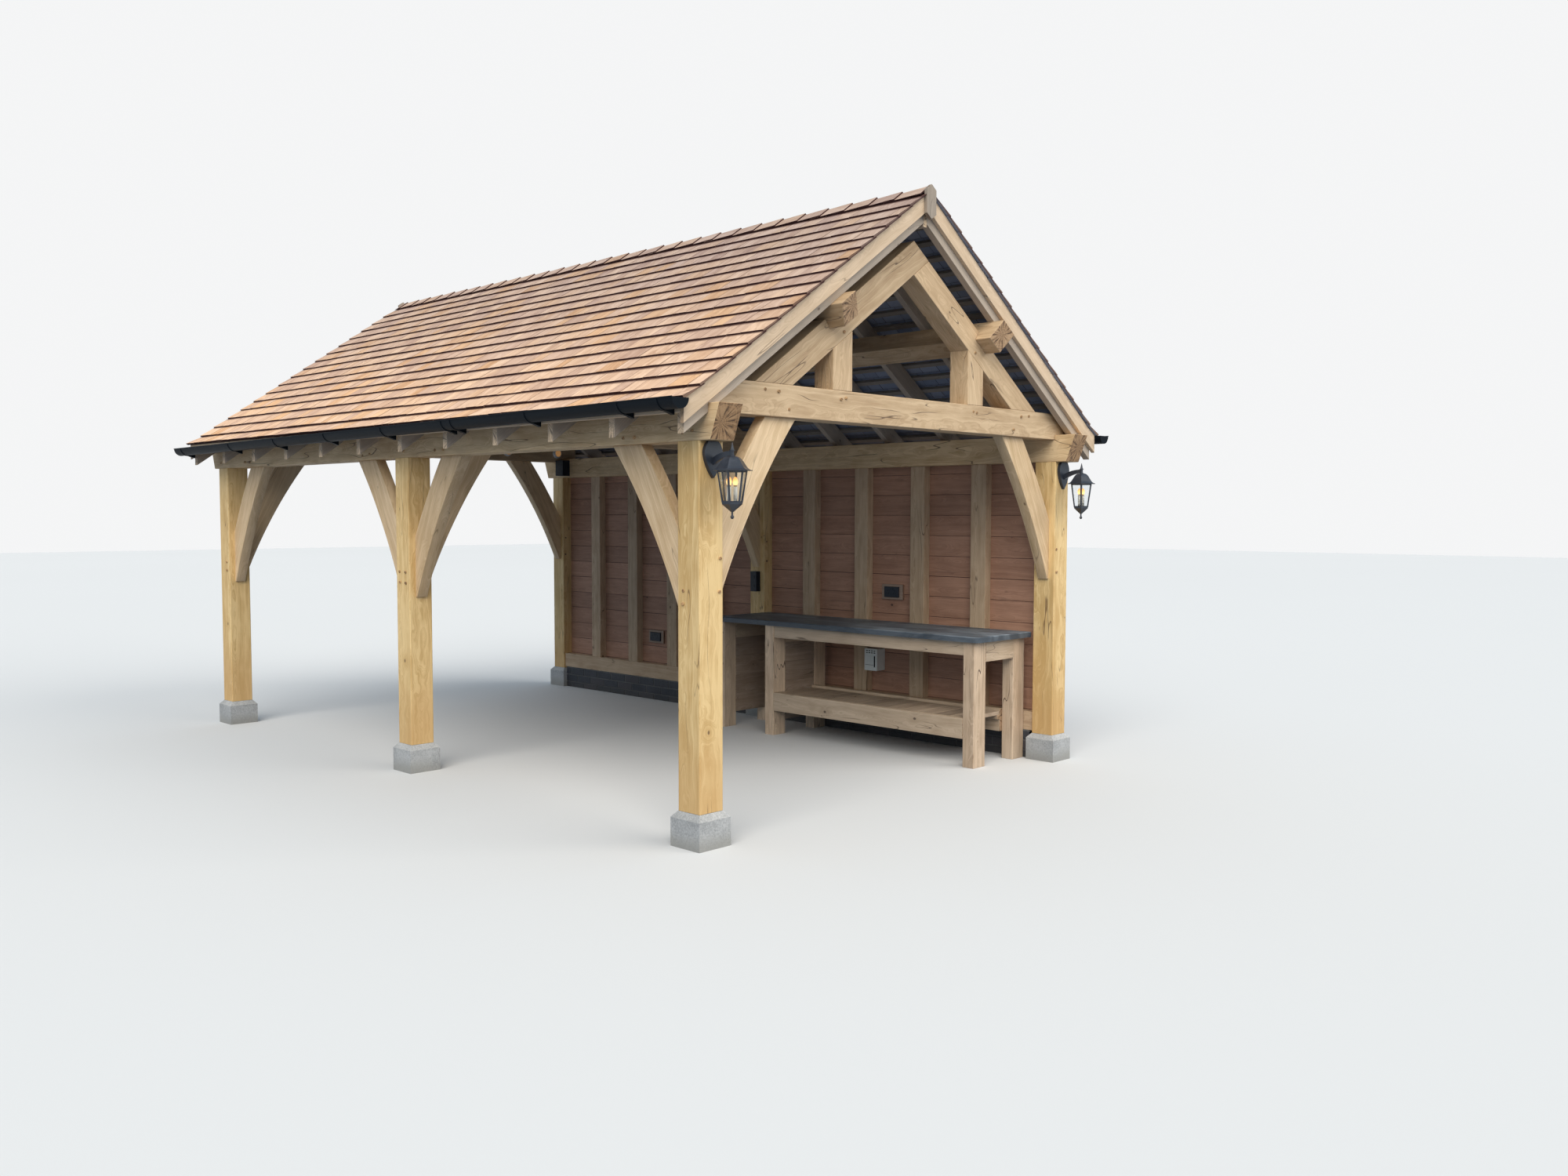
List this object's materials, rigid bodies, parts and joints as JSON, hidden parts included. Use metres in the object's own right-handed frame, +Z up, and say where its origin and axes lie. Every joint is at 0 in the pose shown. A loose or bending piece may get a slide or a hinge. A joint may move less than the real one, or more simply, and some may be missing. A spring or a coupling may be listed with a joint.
{
  "type": "oak garden pavilion",
  "caption": "Open oak-framed garden pavilion with a pitched shingle roof, curved braces, one boarded side and a fitted slate-topped counter.",
  "frame": {"origin": "on the ground at the middle of the whole object's outline in plan", "axes": "+Z up; +Y along the ridge from the front gable to the rear gable; +X across the gables towards the boarded side"},
  "size_m": [4.337, 6.607, 3.8777],
  "materials": {
    "concrete": "rough cast",
    "green_oak": "sawn, unfinished",
    "roof_timber": "sawn, unfinished",
    "shingles": "cleft and weathered",
    "oak_trim": "planed, unfinished",
    "gutter_black": "satin black",
    "blue_brick": "matt fired clay",
    "wall_boarding": "oiled, sawn",
    "counter_oak": "planed, weathered",
    "slate": "riven, dark",
    "lantern_black": "satin black",
    "clear_glass": "clear",
    "lamp_glow": "off-white, lit tips",
    "black_plastic": "gloss",
    "grey_plastic": "matt pale grey",
    "speaker_black": "matt",
    "lamp_white": "opal"
  },
  "bodies": {
    "root": {"padstones": "concrete", "posts": "green_oak", "wall_plates": "green_oak", "tie_beams": "green_oak", "principals_left": "green_oak", "principals_right": "green_oak", "queen_struts": "green_oak", "purlins": "green_oak", "ridge_board": "roof_timber", "rafters": "roof_timber", "battens": "roof_timber", "roof_left": "shingles", "roof_right": "shingles", "ridge_capping": "shingles", "bargeboards_left": "oak_trim", "bargeboards_right": "oak_trim", "apex_blocks": "oak_trim", "fascias": "oak_trim", "gutters": "gutter_black", "gutter_brackets": "gutter_black", "tie_braces": "green_oak", "plate_braces": "green_oak", "brick_plinth": "blue_brick", "sole_plates": "green_oak", "studs": "green_oak", "wall_boards": "wall_boarding", "counter_legs": "counter_oak", "counter_rails": "counter_oak", "counter_shelf": "counter_oak", "counter_panels": "counter_oak", "counter_slab": "slate", "lantern_frames": "lantern_black", "lantern_glass": "clear_glass", "lantern_lamps": "lamp_glow", "socket_backs": "counter_oak", "socket_plates": "black_plastic", "supply_box": "grey_plastic", "speaker": "speaker_black", "round_lamps": "lamp_white"}
  },
  "joints": []
}
